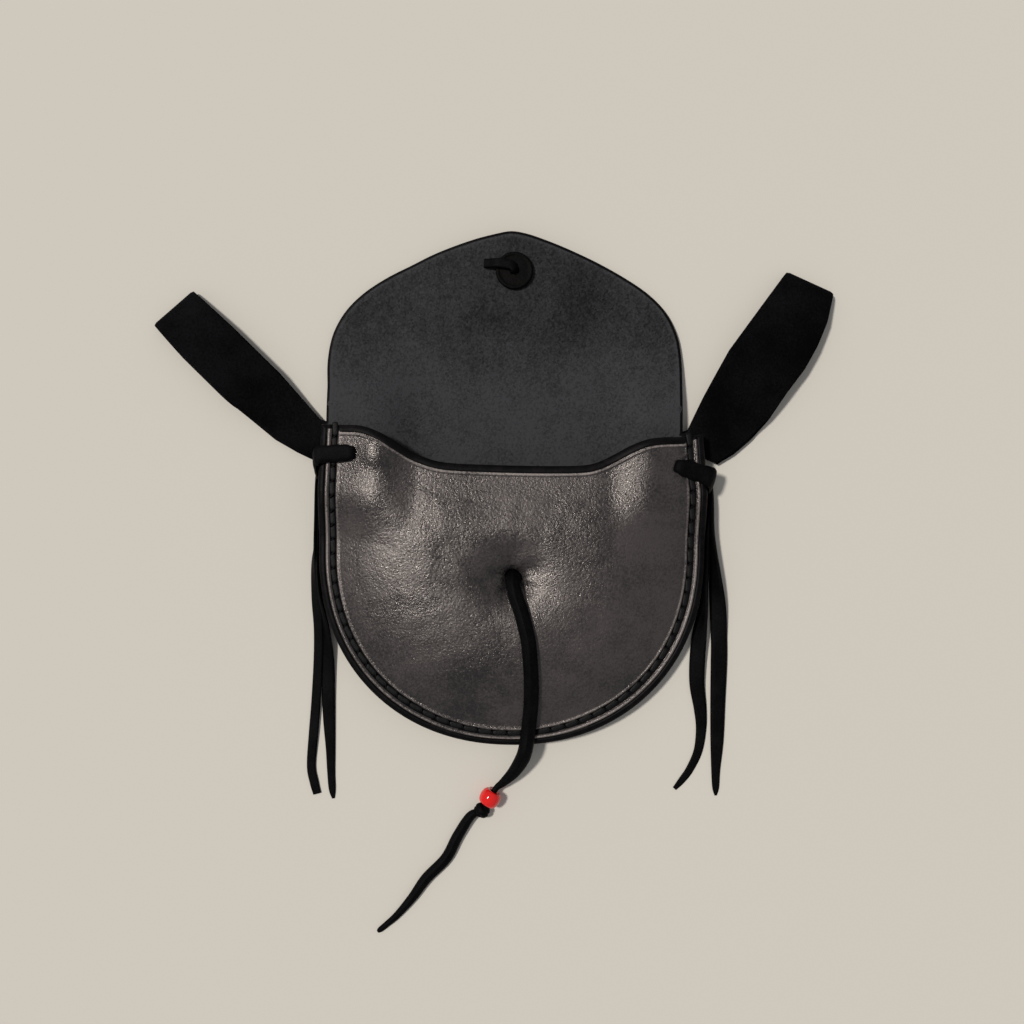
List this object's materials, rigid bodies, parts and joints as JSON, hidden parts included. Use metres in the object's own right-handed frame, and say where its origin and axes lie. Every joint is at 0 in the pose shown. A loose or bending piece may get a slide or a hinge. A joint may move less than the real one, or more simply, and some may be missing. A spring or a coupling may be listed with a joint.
{
  "type": "leather belt pouch",
  "caption": "Round-bottomed leather pouch lying open, with a pointed fold-over flap, suede belt loops, laced corners and a beaded closing thong.",
  "frame": {"origin": "on the flat underside of the back panel, under the centre of the round bowl, where the pouch rests", "axes": "+X to the right seen from the front, +Y towards the flap, +Z out of the front, away from the surface that the pouch lies on"},
  "size_m": [0.2707, 0.28, 0.0207],
  "materials": {
    "moulded_leather": "waxed vegetable-tanned leather, moulded, semi-gloss, burnished at the rim",
    "flap_leather": "matt flesh side of dyed black leather",
    "black_suede": "soft matt black suede",
    "lace_leather": "dull black lace leather",
    "disc_leather": "dark dyed leather, low sheen",
    "red_glass": "opaque glossy red glass"
  },
  "bodies": {
    "pouch": {"back_panel": "flap_leather", "welt": "lace_leather", "front_panel": "moulded_leather", "belt_loop_left": "black_suede", "belt_loop_right": "black_suede", "wrap_lace_left": "lace_leather", "wrap_lace_right": "lace_leather", "tail_left_outer": "lace_leather", "tail_left_inner": "lace_leather", "tail_right_inner": "lace_leather", "tail_right_outer": "lace_leather", "front_thong": "lace_leather", "bead": "red_glass"},
    "fold_strip": {"flap_fold": "flap_leather"},
    "flap": {"flap": "flap_leather", "closure_button": "disc_leather", "closure_disc": "disc_leather", "closure_lace": "lace_leather"}
  },
  "joints": [
    {"name": "lower_fold", "type": "hinge", "parent": "pouch", "child": "fold_strip", "pos_m": [0, 0.0505, 0.0078], "axis": [1, 0, 0], "range_deg": [0, 90]},
    {"name": "upper_fold", "type": "hinge", "parent": "fold_strip", "child": "flap", "pos_m": [0, 0.0645, 0.0078], "axis": [1, 0, 0], "range_deg": [0, 90]}
  ]
}
